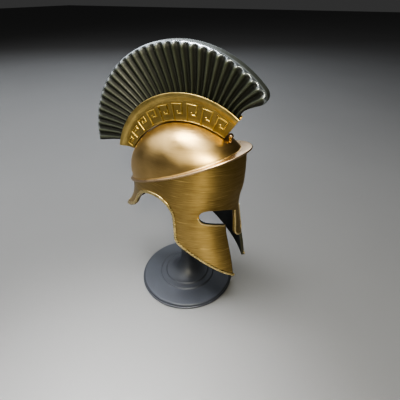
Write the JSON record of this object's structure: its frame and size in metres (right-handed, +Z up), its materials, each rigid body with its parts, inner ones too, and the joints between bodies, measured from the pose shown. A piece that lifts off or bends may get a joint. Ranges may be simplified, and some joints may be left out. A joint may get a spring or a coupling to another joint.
{
  "type": "greek bronze helmet and stand",
  "caption": "Small cast bronze-coloured Greek helmet with a ribbed crest on a holder with a Greek key, held up by a round black stand.",
  "frame": {"origin": "middle of the round base's underside", "axes": "+Z up along the stand's post; the helmet's face looks along -Y; X runs from side to side and X = 0 is the plane of symmetry"},
  "size_m": [0.066, 0.1045, 0.1592],
  "materials": {
    "bronze": "satin bronze plating, fine horizontal brushing on the mask, black inside",
    "holder_gold": "satin gold plating, darker between the raised bars",
    "crest_black": "satin black",
    "stand_black": "satin blue-black"
  },
  "bodies": {
    "root": {"helmet_shell": "bronze", "crest_holder": "holder_gold", "crest": "crest_black", "stand_base": "stand_black", "support_post": "stand_black"}
  },
  "joints": []
}
